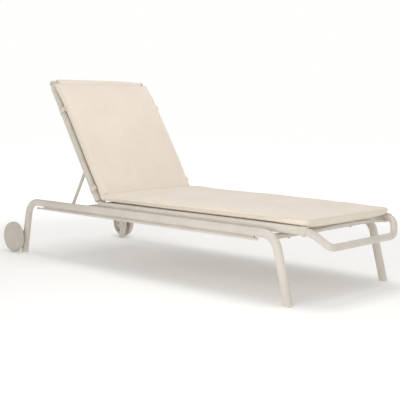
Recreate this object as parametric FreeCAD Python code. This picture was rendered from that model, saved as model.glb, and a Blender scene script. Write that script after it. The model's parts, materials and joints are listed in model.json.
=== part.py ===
import FreeCAD, Part
import math
import os

# Reclining sun lounger with a rope-wound bed frame, a folded pad and two wheels at the head end.
# Millimetres. +Z up, +X towards the foot end, +Y towards the left hand of someone lying on it.
# Lengths along X are measured from the rear feet while the parts are made, and every part is
# moved by ORIGIN_X at the end, so that the origin lies on the floor under the middle of the part.

# ---- chassis: two bent side frames, joined by cross tubes ----
LEG_SPAN = 1800.0
FRAME_HALF = 342.5
RAIL_Z = 276.5
LEG_R = 18.0
LEG_WALL = 2.0
REAR_SPLAY = 62.0
FRONT_SPLAY = 71.0
LEG_BEND = 78.0
GLIDE_H = 8.0
GLIDE_PLUG = 22.0
KEEL_START = 174.0
KEEL_END = 1642.0
KEEL_BOTTOM = 243.0
KEEL_TOP = 253.0
KEEL_HALF = 9.0
KEEL_NECK = 4.0
CROSS_X = (640.0, 1702.0)
CROSS_Z = 262.0
CROSS_R = 12.5
CROSS_WALL = 1.8

# ---- wheels ----
WHEEL_R = 80.0
WHEEL_BACK = 35.0
WHEEL_GAP = 2.5
WHEEL_IN = 374.0
WHEEL_OUT = 400.0
COVER_T = 6.0
AXLE_R = 5.0
BUSH_R = 8.0
RUNNING_GAP = 0.05

# ---- seat frame: one tube bent into a bed with a lift handle at the foot end ----
BED_HALF = 300.0
SEAT_Z = 297.0
BED_TUBE_R = 15.0
BED_WALL = 2.0
SEAT_REAR = 594.0
SEAT_BEND_X = 1870.0
SEAT_BEND = 70.0
HANDLE_X = 1916.0
HANDLE_HALF = 230.0
HANDLE_Z = 229.0
HANDLE_BEND = 70.0
SEAT_BENDS = (SEAT_BEND, HANDLE_BEND, HANDLE_BEND, SEAT_BEND)
SEAT_WIND_R = 17.5
SEAT_WIND_END = 1850.0
SEAT_TUBES_X = (640.0, 1150.0, 1702.0)
SEAT_TUBE_Z = 294.0
SEAT_TUBE_R = 11.0
FOOT_BAR_X = 1834.0
FOOT_BAR_Z = 294.0
FOOT_BAR_END_Z = 278.5
FOOT_BAR_R = 6.5
SADDLE_Y = 220.0
SADDLE_BOLT_R = 3.0
PEGS_X = (1818.0, 1804.0)
PEG_R = 2.5
ROPE_DECK_T = 5.0
SEAT_DECK_X = (640.0, 1822.0)
DECK_HALF = 292.0

# ---- backrest, modelled flat behind the hinge and then raised ----
HINGE_X = 575.0
HINGE_Z = 330.0
BACK_ANGLE = 58.2
BACK_LENGTH = 663.0
BACK_CORNER_R = 16.5
BACK_TUBE_START = 20.0
BACK_WIND_R = 18.0
BACK_WIND_START = 32.0
BACK_WIND_END = 638.0
PLUG_R = 17.0
PLUG_END = -17.0
HINGE_PIN_R = 5.0
EAR_IN = 277.0
EAR_OUT = 282.0
EAR_FOOT = (598.0, 628.0)
EAR_LOW = 287.0
EAR_SHOULDER = 306.0
EAR_CREST = (591.0, 603.0)
EAR_CREST_Z = 319.0
EAR_EYE_R = 13.6
BACK_TUBES_S = (81.0, 406.0)
BACK_TUBE_R = 9.0
STRAP_S = (45.0, 495.0)
STRAP_W = 24.0

# ---- prop ----
PROP_S = 196.0
PROP_LEAN = 59.5
PROP_R = 8.0
PROP_HALF = 272.0
PROP_FOOT_Z = 255.0
PROP_FOOT_HALF = 319.0
RACK_IN = 309.0
RACK_OUT = 318.0
RACK_BOTTOM = 236.5
RACK_FOOT_Z = (240.0, 245.0)
RACK_FEET = (108.0, 164.0, 243.0)
RACK_GAP = 1.5
NOTCH_DEPTH = 4.5
BACK_STOPS = (0.0, 15.0, 30.0, 45.0, BACK_ANGLE)

# ---- pad ----
PAD_HALF = 311.0
PAD_CLEAR = 0.8
PAD_FOOT_X = 1864.0
PAD_REAR_TOP = 368.0
PAD_FOOT_TOP = 349.0
PAD_FOLD = (616.0, 637.0)
BACK_PAD_LOW = 20.8
BACK_PAD_HIGH = 64.0
BACK_PAD_FOLD = (-23.0, 5.0)
BACK_PAD_TOP = 640.0
PAD_CHAMFER = 12.0
HOOD_IN = 20.0
HOOD_OUT = 22.0
HOOD_Y = (-281.0, 255.0)

ORIGIN_X = (HANDLE_X + BED_TUBE_R - WHEEL_BACK - WHEEL_R) / 2
SIDES = (("left", 1), ("right", -1))
V = FreeCAD.Vector
AXIS_Y = V(0, 1, 0)


# ---- shared shapes ----
def bend_path(points, radii):
    """Straight runs through the points, with a tangent arc at each inner point."""
    edges = []
    start = points[0]
    for before, corner, after, radius in zip(points, points[1:], points[2:], radii):
        back = (before - corner).normalize()
        ahead = (after - corner).normalize()
        half = back.getAngle(ahead) / 2
        reach = radius / math.tan(half)
        middle = (back + ahead).normalize() * (radius / math.sin(half) - radius)
        first = corner + back * reach
        last = corner + ahead * reach
        edges.append(Part.LineSegment(start, first).toShape())
        edges.append(Part.Arc(first, corner + middle, last).toShape())
        start = last
    edges.append(Part.LineSegment(start, points[-1]).toShape())
    return Part.Wire(edges)


def bar(points, radii, radius):
    """A round solid bar that follows a bent path."""
    path = bend_path(points, radii)
    ring = Part.Wire([Part.Circle(points[0], points[1] - points[0], radius).toShape()])
    return path.makePipeShell([ring], True, False)


def tube(points, radii, radius, wall):
    """A bent tube, open at both ends."""
    return bar(points, radii, radius).cut(bar(points, radii, radius - wall))


def rod(a, b, radius):
    """A straight round rod from a to b."""
    return Part.makeCylinder(radius, (b - a).Length, a, b - a)


def ring(a, b, outer, inner):
    """A straight sleeve from a to b."""
    return rod(a, b, outer).cut(rod(a, b, inner))


def block(x0, x1, y0, y1, z0, z1):
    """A box between two corners, given in any order."""
    corner = V(min(x0, x1), min(y0, y1), min(z0, z1))
    return Part.makeBox(abs(x1 - x0), abs(y1 - y0), abs(z1 - z0), corner)


def plate(outline, y0, y1):
    """A closed outline of (x, z) points, given a thickness along Y."""
    points = [V(x, y0, z) for x, z in outline]
    face = Part.Face(Part.makePolygon(points + points[:1]))
    return face.extrude(V(0, y1 - y0, 0))


def fuse(*shapes):
    """One clean solid from pieces that touch or overlap."""
    return shapes[0].multiFuse(list(shapes[1:])).removeSplitter()


def cut(shape, *tools):
    """A shape less several others."""
    for tool in tools:
        shape = shape.cut(tool)
    return shape


def group(shapes):
    """Separate solids that share one node."""
    return Part.makeCompound([solid for shape in shapes for solid in shape.Solids])


def hex_head(centre, across, height, direction):
    """A hexagon bolt head or nut whose base is centred on a point."""
    radius = across / math.sqrt(3)
    side = V(1, 0, 0) if abs(direction.x) < 0.5 else V(0, 0, 1)
    points = []
    for k in range(6):
        turn = FreeCAD.Rotation(direction, 60 * k)
        points.append(centre + turn.multVec(side) * radius)
    face = Part.Face(Part.makePolygon(points + points[:1]))
    return face.extrude(V(direction).normalize() * height)


# ---- places ----
def leg_line(rear):
    """The foot and the corner of one leg, in side view."""
    if rear:
        return V(0, 0, 0), V(REAR_SPLAY, 0, RAIL_Z)
    return V(LEG_SPAN, 0, 0), V(LEG_SPAN - FRONT_SPLAY, 0, RAIL_Z)


def storey(z0, z1):
    """Everything between two heights."""
    return block(-200, LEG_SPAN + 200, -500, 500, z0, z1)


def on_leg(rear, z, y):
    """A point on a leg's centreline at a height."""
    foot, corner = leg_line(rear)
    point = foot + (corner - foot) * (z / RAIL_Z)
    return V(point.x, y, z)


def raised(shape):
    """Turn a part of the backrest from flat up to its place."""
    shape = shape.copy()
    shape.rotate(V(HINGE_X, 0, HINGE_Z), AXIS_Y, BACK_ANGLE)
    return shape


def back_point(s, y, t=0.0):
    """A point of the flat backrest: s from the hinge towards the head, t towards the sleeper."""
    return V(HINGE_X - s, y, HINGE_Z + t)


def lifted(s, t=0.0, angle=BACK_ANGLE):
    """Side view place of a backrest point with the back raised to an angle."""
    a = math.radians(angle)
    x = HINGE_X - s * math.cos(a) + t * math.sin(a)
    return x, HINGE_Z + s * math.sin(a) + t * math.cos(a)


PROP_TOP = lifted(PROP_S)
PROP_LENGTH = (PROP_TOP[1] - PROP_FOOT_Z) / math.sin(math.radians(PROP_LEAN))


def prop_foot_x(angle):
    """Where the prop's foot bar lies along the rack with the back at an angle."""
    x, z = lifted(PROP_S, 0.0, angle)
    return x - math.sqrt(PROP_LENGTH ** 2 - (z - PROP_FOOT_Z) ** 2)


# ---- chassis ----
def side_path(side):
    """Rear leg, rail and front leg, with both legs run on below the floor to be trimmed."""
    y = side * FRAME_HALF
    points = [on_leg(True, -30.0, y), on_leg(True, RAIL_Z, y)]
    points += [on_leg(False, RAIL_Z, y), on_leg(False, -30.0, y)]
    return points


def side_frame(side):
    bent = tube(side_path(side), (LEG_BEND, LEG_BEND), LEG_R, LEG_WALL)
    return bent.cut(storey(-100, GLIDE_H))


def foot_glides():
    """Plastic feet: a sole as wide as the tube, and a plug up inside it."""
    feet = []
    for _, side in SIDES:
        for rear in (True, False):
            y = side * FRAME_HALF
            low, high = on_leg(rear, -30.0, y), on_leg(rear, 60.0, y)
            sole = rod(low, high, LEG_R).common(storey(0, GLIDE_H))
            lower = [e for e in sole.Edges if e.BoundBox.ZMax < 0.1]
            sole = sole.makeFillet(2.5, lower)
            plug = rod(low, high, LEG_R - LEG_WALL).common(storey(GLIDE_H - 1, GLIDE_PLUG))
            feet.append(fuse(sole, plug))
    return group(feet)


def rail_keel(side):
    """A strip under the straight of the rail, held off it by a narrow neck."""
    y = side * FRAME_HALF
    end = KEEL_HALF
    body = block(KEEL_START + end, KEEL_END - end, y - end, y + end, KEEL_BOTTOM, KEEL_TOP)
    for x in (KEEL_START + end, KEEL_END - end):
        body = body.fuse(rod(V(x, y, KEEL_BOTTOM), V(x, y, KEEL_TOP), end))
    neck = block(KEEL_START + 2 * end, KEEL_END - 2 * end, y - KEEL_NECK, y + KEEL_NECK,
                 KEEL_TOP - 1, RAIL_Z - LEG_R + 2)
    body = body.fuse(neck).removeSplitter()
    lower = [e for e in body.Edges if e.BoundBox.ZMax < KEEL_BOTTOM + 0.1]
    body = body.makeFillet(3.0, lower)
    return body.cut(rod(V(0, y, RAIL_Z), V(LEG_SPAN, y, RAIL_Z), LEG_R))


def cross_tube(x):
    """A tube between the rails, its ends cut to fit against them."""
    reach = FRAME_HALF - KEEL_HALF - 0.6
    a, b = V(x, -reach, CROSS_Z), V(x, reach, CROSS_Z)
    shape = ring(a, b, CROSS_R, CROSS_R - CROSS_WALL)
    rails = [bar(side_path(s), (LEG_BEND, LEG_BEND), LEG_R) for _, s in SIDES]
    holes = [saddle_hole(x, s) for _, s in SIDES]
    return max(cut(shape, *rails, *holes).Solids, key=lambda solid: solid.Volume)


def saddle_hole(x, side):
    """The hole for a saddle bolt, from below the chassis tube to inside the seat tube."""
    y = side * SADDLE_Y
    return rod(V(x, y, CROSS_Z - 30), V(x, y, SEAT_TUBE_Z + 5), SADDLE_BOLT_R + 0.1)


def wheel_centre(y):
    return V(-WHEEL_BACK, y, WHEEL_R + WHEEL_GAP)


def wheel_bracket(side):
    """A plate from the rear leg back to the axle, with a boss that faces the wheel."""
    c = wheel_centre(0)
    low, high = on_leg(True, 44.0, 0), on_leg(True, 132.0, 0)
    y0, y1 = side * (FRAME_HALF - 3), side * (FRAME_HALF + 3)
    web = plate([(low.x, low.z), (high.x, high.z), (c.x + 3, c.z + 17), (c.x + 3, c.z - 17)], y0, y1)
    eye = rod(V(c.x, y0, c.z), V(c.x, y1, c.z), 17.3)
    boss = rod(V(c.x, y0, c.z), V(c.x, side * (WHEEL_IN - 0.5), c.z), 11)
    leg = rod(on_leg(True, 0, side * FRAME_HALF), on_leg(True, 240, side * FRAME_HALF), LEG_R)
    hole = rod(V(c.x, side * 300, c.z), V(c.x, side * 400, c.z), AXLE_R)
    return cut(fuse(web, eye, boss), leg, hole)


def axle_bolt(side):
    """Shank and head; the head lies against the bracket's inner face."""
    c = wheel_centre(0)
    inner = side * (FRAME_HALF - 3)
    shank = rod(V(c.x, inner, c.z), V(c.x, side * (WHEEL_OUT - COVER_T - 1), c.z), AXLE_R)
    head = hex_head(V(c.x, inner, c.z), 17.0, 6.4, V(0, -side, 0))
    return fuse(shank, head)


def axle_nuts():
    """Lock nuts sunk in the hubs, under the wheel covers."""
    nuts = []
    for _, side in SIDES:
        c = wheel_centre(side * (WHEEL_OUT - COVER_T - 8))
        nut = hex_head(c, 17.0, 6.0, V(0, side, 0))
        nuts.append(nut.cut(rod(c, c + V(0, side * 8, 0), AXLE_R)))
    return group(nuts)


# ---- wheels ----
def wheel_core(side):
    """Moulded wheel: hub, web near the outer face, rim and six ribs on the inner side."""
    at = lambda y: wheel_centre(side * y)
    web_y = WHEEL_OUT - COVER_T - 9
    back_y = WHEEL_OUT - COVER_T
    rim = ring(at(WHEEL_IN + 1.5), at(back_y), WHEEL_R - 6, WHEEL_R - 12)
    web = ring(at(web_y), at(web_y + 5), WHEEL_R - 11, BUSH_R)
    hub = ring(at(WHEEL_IN), at(web_y + 1), 20, BUSH_R)
    ribs = []
    for k in range(6):
        rib = block(18, WHEEL_R - 11, -1.75, 1.75, 0, web_y - WHEEL_IN - 3)
        rib.rotate(V(0, 0, 0), V(0, 0, 1), 60 * k + 15)
        rib.rotate(V(0, 0, 0), V(1, 0, 0), -90 * side)
        rib.translate(at(WHEEL_IN + 4))
        ribs.append(rib)
    nut_room = rod(at(web_y + 0.8), at(WHEEL_OUT), 12)
    return fuse(rim, web, hub, *ribs).cut(nut_room)


def wheel_tyre(side):
    """Soft tread band with rounded shoulders."""
    at = lambda y: wheel_centre(side * y)
    band = ring(at(WHEEL_IN + 0.5), at(WHEEL_OUT - COVER_T - 0.3), WHEEL_R, WHEEL_R - 6)
    rims = [e for e in band.Edges if e.Closed and abs(e.Curve.Radius - WHEEL_R) < 0.01]
    return band.makeFillet(2.5, rims)


def wheel_cover(side):
    """Smooth outer disc with a bevelled rim."""
    a, b = wheel_centre(side * (WHEEL_OUT - COVER_T)), wheel_centre(side * WHEEL_OUT)
    disc = rod(a, b, WHEEL_R - 2.0)
    outer = [e for e in disc.Edges if e.Closed and abs(e.CenterOfMass.y - b.y) < 0.01]
    return disc.makeChamfer(2.4, outer)


def wheel_bush(side):
    a = wheel_centre(side * WHEEL_IN)
    b = wheel_centre(side * (WHEEL_OUT - COVER_T - 8.5))
    return ring(a, b, BUSH_R, AXLE_R + RUNNING_GAP)


# ---- seat ----
def seat_points():
    half, y = BED_HALF, HANDLE_HALF
    near = [V(SEAT_REAR, -half, SEAT_Z), V(SEAT_BEND_X, -half, SEAT_Z), V(HANDLE_X, -y, HANDLE_Z)]
    return near + [V(p.x, -p.y, p.z) for p in reversed(near)]


def seat_rod(side, radius, x0=SEAT_REAR, x1=SEAT_WIND_END):
    """A solid rod along one side tube of the seat."""
    y = side * BED_HALF
    return rod(V(x0, y, SEAT_Z), V(x1, y, SEAT_Z), radius)


def peg_hole(x, side):
    y = side * BED_HALF
    return rod(V(x, y, SEAT_Z - 27), V(x, y, SEAT_Z - 7), PEG_R)


def seat_frame():
    frame = tube(seat_points(), SEAT_BENDS, BED_TUBE_R, BED_WALL)
    return cut(frame, *[peg_hole(x, s) for x in PEGS_X for _, s in SIDES])


def seat_cross(x, z, radius):
    """A cross tube of the seat, its ends cut to fit the side tubes."""
    a, b = V(x, -BED_HALF + 4, z), V(x, BED_HALF - 4, z)
    shape = cut(ring(a, b, radius, radius - 1.6), bar(seat_points(), SEAT_BENDS, BED_TUBE_R))
    if x in CROSS_X:
        shape = cut(shape, *[saddle_hole(x, s) for _, s in SIDES])
    return max(shape.Solids, key=lambda solid: solid.Volume)


def foot_bar_solid():
    """An arched bar that passes under both side tubes at the foot end of the rope."""
    low = V(FOOT_BAR_X, -BED_HALF - 3, FOOT_BAR_END_Z)
    arc = Part.Arc(low, V(FOOT_BAR_X, 0, FOOT_BAR_Z), V(low.x, -low.y, low.z))
    section = Part.Wire([Part.Circle(low, arc.tangent(arc.FirstParameter)[0], FOOT_BAR_R).toShape()])
    return Part.Wire([arc.toShape()]).makePipeShell([section], True, False)


def seat_foot_bar():
    shape = foot_bar_solid().cut(bar(seat_points(), SEAT_BENDS, BED_TUBE_R))
    return max(shape.Solids, key=lambda solid: solid.Volume)


def seat_saddles():
    """Blocks clamped between the seat's cross tubes and the chassis cross tubes."""
    saddles = []
    for x in CROSS_X:
        for _, s in SIDES:
            y = s * SADDLE_Y
            body = block(x - 14, x + 14, y - 22, y + 22, CROSS_Z + 4, SEAT_TUBE_Z - 4)
            below = rod(V(x, y - 30, CROSS_Z), V(x, y + 30, CROSS_Z), CROSS_R)
            above = rod(V(x, y - 30, SEAT_TUBE_Z), V(x, y + 30, SEAT_TUBE_Z), SEAT_TUBE_R)
            saddles.append(cut(body, below, above, saddle_hole(x, s)))
    return group(saddles)


def saddle_bolts():
    """Bolts up through the chassis tube and the saddle into the seat tube."""
    bolts = []
    base = CROSS_Z - CROSS_R
    for x in CROSS_X:
        for _, s in SIDES:
            low = V(x, s * SADDLE_Y, base - 0.2)
            shank = rod(low, V(x, s * SADDLE_Y, SEAT_TUBE_Z - 4), SADDLE_BOLT_R)
            bolts.append(fuse(shank, hex_head(low, 10.0, 4.0, V(0, 0, -1))))
    return group(bolts)


def seat_winding(side):
    """The rope wound tightly round one side tube, as a sleeve with gaps for what meets the tube."""
    y = side * BED_HALF
    sleeve = tube(seat_points(), SEAT_BENDS, SEAT_WIND_R, SEAT_WIND_R - BED_TUBE_R)
    sleeve = sleeve.common(block(SEAT_REAR + 6, SEAT_WIND_END, y - side * 40, y + side * 20, 270, 320))
    tools = [rod(V(x, 0, SEAT_TUBE_Z), V(x, y, SEAT_TUBE_Z), SEAT_TUBE_R) for x in SEAT_TUBES_X]
    tools.append(foot_bar_solid())
    tools.append(block(EAR_FOOT[0] - 2, EAR_FOOT[1] + 2, side * EAR_IN, side * (BED_HALF - 8), 280, 320))
    return cut(sleeve, *tools, *[peg_hole(x, side) for x in PEGS_X])


def seat_rope_deck():
    """The rope that crosses the seat from side to side, as one sheet between the sleeves."""
    top = SEAT_Z + SEAT_WIND_R
    deck = block(SEAT_DECK_X[0], SEAT_DECK_X[1], -DECK_HALF, DECK_HALF, top - ROPE_DECK_T, top)
    return cut(deck, *[seat_rod(s, SEAT_WIND_R, 560, 1900) for _, s in SIDES])


def seat_tube_caps():
    """Plugs in the open rear ends of the seat's side tubes."""
    caps = []
    for _, s in SIDES:
        y = s * BED_HALF
        face = rod(V(SEAT_REAR - 3, y, SEAT_Z), V(SEAT_REAR, y, SEAT_Z), BED_TUBE_R)
        plug = rod(V(SEAT_REAR, y, SEAT_Z), V(SEAT_REAR + 14, y, SEAT_Z), BED_TUBE_R - BED_WALL)
        caps.append(fuse(face, plug))
    return group(caps)


def rope_pegs():
    """Short plugs under the side tubes that pin the ends of the wound rope."""
    pegs = []
    for x in PEGS_X:
        for _, s in SIDES:
            y = s * BED_HALF
            stem = rod(V(x, y, SEAT_Z - SEAT_WIND_R), V(x, y, SEAT_Z - BED_TUBE_R + 3), PEG_R)
            low = SEAT_Z - SEAT_WIND_R - 1.6
            pegs.append(fuse(stem, rod(V(x, y, low), V(x, y, low + 1.6), 4.2)))
    return group(pegs)


# ---- hinge ----
def hinge_ear(side):
    """A plate that stands on the inner side of the seat tube and carries the backrest's pivot."""
    y0, y1 = side * EAR_IN, side * EAR_OUT
    rear, front = EAR_FOOT
    outline = [(rear, EAR_LOW), (front, EAR_LOW), (front, EAR_SHOULDER), (EAR_CREST[1], EAR_CREST_Z),
               (EAR_CREST[0], EAR_CREST_Z + 8), (HINGE_X, HINGE_Z + EAR_EYE_R),
               (HINGE_X, HINGE_Z - EAR_EYE_R)]
    eye = rod(V(HINGE_X, y0, HINGE_Z), V(HINGE_X, y1, HINGE_Z), EAR_EYE_R)
    pad = block(rear + 2, front - 2, y1, side * (BED_HALF - 9), EAR_LOW + 1, EAR_SHOULDER + 3)
    hole = rod(V(HINGE_X, 0, HINGE_Z), V(HINGE_X, side * 400, HINGE_Z), HINGE_PIN_R)
    return cut(fuse(plate(outline, y0, y1), eye, pad), seat_rod(side, BED_TUBE_R, 560, 660), hole)


def hinge_pin(side):
    """Shouldered pivot screw: riveted in the ear, running in the bush of the backrest's end."""
    shank = rod(V(HINGE_X, side * EAR_IN, HINGE_Z), V(HINGE_X, side * 314, HINGE_Z), HINGE_PIN_R)
    head = rod(V(HINGE_X, side * (EAR_IN - 4), HINGE_Z), V(HINGE_X, side * EAR_IN, HINGE_Z), 8.5)
    rims = [e for e in head.Edges if e.Closed and abs(abs(e.CenterOfMass.y) - EAR_IN + 4) < 0.01]
    return fuse(shank, head.makeFillet(1.8, rims))


def hinge_plug(side):
    """Smooth cast end of a backrest side tube, flattened where it faces the ear."""
    y = side * BED_HALF
    body = rod(back_point(PLUG_END, y), back_point(BACK_WIND_START, y), PLUG_R)
    ends = [e for e in body.Edges if e.Closed and abs(e.CenterOfMass.x - HINGE_X + PLUG_END) < 0.01]
    body = body.makeFillet(3.0, ends)
    stem = rod(back_point(0, y), back_point(52, y), BED_TUBE_R - BED_WALL)
    body = fuse(body, stem).cut(tube_space(side))
    flat = block(HINGE_X - 60, HINGE_X + 20, side * (EAR_OUT + 0.5), side * 270, 300, 370)
    hole = rod(V(HINGE_X, 0, HINGE_Z), V(HINGE_X, side * 314.4, HINGE_Z), HINGE_PIN_R + 2.5)
    return raised(cut(body, flat, hole))


def tube_space(side):
    """The wall of the backrest's side tube, where the plug is pushed into it."""
    y = side * BED_HALF
    a, b = back_point(BACK_TUBE_START, y), back_point(80, y)
    return ring(a, b, BED_TUBE_R, BED_TUBE_R - BED_WALL)


def hinge_bush(side):
    """Plastic bush in the plug, running on the pivot screw."""
    a, b = V(HINGE_X, side * (EAR_OUT + 0.5), HINGE_Z), V(HINGE_X, side * 314.4, HINGE_Z)
    return ring(a, b, HINGE_PIN_R + 2.5, HINGE_PIN_R + RUNNING_GAP)


# ---- backrest ----
def back_hoop(thinner):
    """Two side tubes and a top tube that meet in cast corners, made thinner all over."""
    corners = [back_point(BACK_LENGTH, side * BED_HALF) for _, side in SIDES]
    radius = BED_TUBE_R - thinner
    pieces = [rod(corners[0], corners[1], radius)]
    for (_, side), corner in zip(SIDES, corners):
        pieces.append(rod(back_point(BACK_TUBE_START - thinner, side * BED_HALF), corner, radius))
        pieces.append(Part.makeSphere(BACK_CORNER_R - thinner, corner))
    return fuse(*pieces)


def back_frame():
    return raised(back_hoop(0.0).cut(back_hoop(BED_WALL)))


def back_rod(side, radius, s0=0.0, s1=BACK_LENGTH):
    y = side * BED_HALF
    return rod(back_point(s0, y), back_point(s1, y), radius)


def back_cross(s):
    """A cross tube of the backrest, its ends cut to fit the side tubes."""
    a, b = back_point(s, -BED_HALF + 4), back_point(s, BED_HALF - 4)
    shape = ring(a, b, BACK_TUBE_R, BACK_TUBE_R - 1.6)
    shape = cut(shape, back_rod(1, BED_TUBE_R), back_rod(-1, BED_TUBE_R))
    return raised(max(shape.Solids, key=lambda solid: solid.Volume))


def back_winding(side):
    """The rope wound round one side tube of the backrest."""
    y = side * BED_HALF
    a = back_point(BACK_WIND_START + 0.2, y)
    b = back_point(BACK_WIND_END, y)
    tools = [rod(back_point(s, 0), back_point(s, y), BACK_TUBE_R) for s in BACK_TUBES_S]
    tools.append(rod(back_point(PROP_S, 0), back_point(PROP_S, y), 9.0))
    return raised(cut(ring(a, b, BACK_WIND_R, BED_TUBE_R), *tools))


def back_rope_deck():
    """The rope that crosses the backrest, as one sheet between the sleeves."""
    top = HINGE_Z + BACK_WIND_R
    deck = block(HINGE_X - BACK_WIND_START - 2, HINGE_X - BACK_WIND_END + 2, -DECK_HALF, DECK_HALF,
                 top - ROPE_DECK_T, top)
    return raised(cut(deck, *[back_rod(s, BACK_WIND_R, 0, 700) for _, s in SIDES]))


def prop_lug(side):
    """A collar on the inner side of the backrest tube, with the screw that the prop turns on."""
    at = lambda y: back_point(PROP_S, side * y)
    collar = rod(at(PROP_HALF + PROP_R + 0.6), at(BED_HALF - 8), 9.0)
    pin = rod(at(PROP_HALF - PROP_R - 1), at(BED_HALF - 8), 4.0)
    head = rod(at(PROP_HALF - PROP_R - 4.6), at(PROP_HALF - PROP_R - 0.6), 7.5)
    return raised(fuse(collar, pin, head).cut(back_rod(side, BED_TUBE_R)))


# ---- prop ----
def prop_bail():
    """Two arms and a foot bar, with an eye at the top of each arm."""
    top_x, top_z = PROP_TOP
    foot_x = prop_foot_x(BACK_ANGLE)
    pieces = [rod(V(foot_x, -PROP_FOOT_HALF, PROP_FOOT_Z), V(foot_x, PROP_FOOT_HALF, PROP_FOOT_Z),
                  PROP_R)]
    bores = []
    for _, s in SIDES:
        y = s * PROP_HALF
        pieces.append(rod(V(foot_x, y, PROP_FOOT_Z), V(top_x, y, top_z), PROP_R))
        pieces.append(rod(V(top_x, y - PROP_R, top_z), V(top_x, y + PROP_R, top_z), 10.0))
        bores.append(rod(V(top_x, y - 10, top_z), V(top_x, y + 10, top_z), 4.0 + RUNNING_GAP))
    return cut(fuse(*pieces), *bores)


def prop_foot_caps():
    """Domed plastic caps on the ends of the foot bar."""
    caps = []
    foot_x = prop_foot_x(BACK_ANGLE)
    for _, s in SIDES:
        a = V(foot_x, s * PROP_FOOT_HALF, PROP_FOOT_Z)
        b = V(foot_x, s * (PROP_FOOT_HALF + 3), PROP_FOOT_Z)
        cap = rod(a, b, PROP_R)
        rims = [e for e in cap.Edges if e.Closed and abs(e.CenterOfMass.y - b.y) < 0.01]
        caps.append(cap.makeFillet(1.8, rims))
    return group(caps)


def prop_rack(side):
    """A notched bar inside the rail, with three feet that are welded to the keel."""
    tip = PROP_FOOT_Z - PROP_R - RACK_GAP
    x0, x1 = prop_foot_x(0.0) - 24, prop_foot_x(BACK_ANGLE) + 24
    body = block(x0, x1, side * RACK_IN, side * RACK_OUT, RACK_BOTTOM, tip)
    for angle in BACK_STOPS:
        x = prop_foot_x(angle)
        z = tip - NOTCH_DEPTH + PROP_R + 1.0
        body = body.cut(rod(V(x, side * 290, z), V(x, side * 330, z), PROP_R + 1.0))
    reach = FRAME_HALF - KEEL_HALF + 2
    for along in RACK_FEET:
        foot = block(x0 + along - 9, x0 + along + 9, side * RACK_OUT, side * reach, *RACK_FOOT_Z)
        body = body.fuse(foot)
    body = body.removeSplitter()
    return body.cut(rail_keel(side))


# ---- pad ----
def seat_cushion():
    """The seat half of the pad: a slab, thicker at the fold, with its long edges eased."""
    low = SEAT_Z + SEAT_WIND_R + PAD_CLEAR
    outline = [(PAD_FOLD[0], low), (PAD_FOOT_X - 14, low), (PAD_FOOT_X, low + 14),
               (PAD_FOOT_X - 12, PAD_FOOT_TOP), (PAD_FOLD[1], PAD_REAR_TOP)]
    slab = plate(outline, -PAD_HALF, PAD_HALF)
    return slab.makeChamfer(PAD_CHAMFER, long_edges(slab))


def back_cushion():
    """The back half of the pad, ended at the fold on the slant that meets the seat half."""
    low, high = HINGE_Z + BACK_PAD_LOW, HINGE_Z + BACK_PAD_HIGH
    outline = [(HINGE_X - BACK_PAD_FOLD[0], low), (HINGE_X - BACK_PAD_FOLD[1], high),
               (HINGE_X - BACK_PAD_TOP + 14, high), (HINGE_X - BACK_PAD_TOP, high - 18),
               (HINGE_X - BACK_PAD_TOP, low)]
    slab = plate(outline, -PAD_HALF, PAD_HALF)
    return raised(slab.makeChamfer(PAD_CHAMFER, long_edges(slab)))


def long_edges(slab):
    """The upper outer edges of a pad, along its length."""
    top = max(vertex.Z for vertex in slab.Vertexes) - 25
    edges = [e for e in slab.Edges if e.BoundBox.YLength < 0.1 and e.BoundBox.XLength > 400]
    return [e for e in edges if e.CenterOfMass.z > top]


def cushion_hood():
    """Fabric sleeve round the top tube of the backrest, which holds the pad from sliding down."""
    a, b = (back_point(BACK_LENGTH, y) for y in HOOD_Y)
    return raised(ring(a, b, HOOD_OUT, HOOD_IN))


def cushion_straps():
    """Fabric loops that tie the pad to the backrest's side tubes, open where the rope crosses."""
    loops = []
    for s in STRAP_S:
        for _, side in SIDES:
            y = side * BED_HALF
            a, b = back_point(s - STRAP_W / 2, y), back_point(s + STRAP_W / 2, y)
            loop = ring(a, b, BACK_WIND_R + 1.9, BACK_WIND_R + 0.3)
            inner = side * (DECK_HALF + 1.5)
            gap = block(b.x - 1, a.x + 1, inner, inner - side * 20, HINGE_Z, HINGE_Z + 30)
            loops.append(raised(loop.cut(gap)))
    return group(loops)


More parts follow.
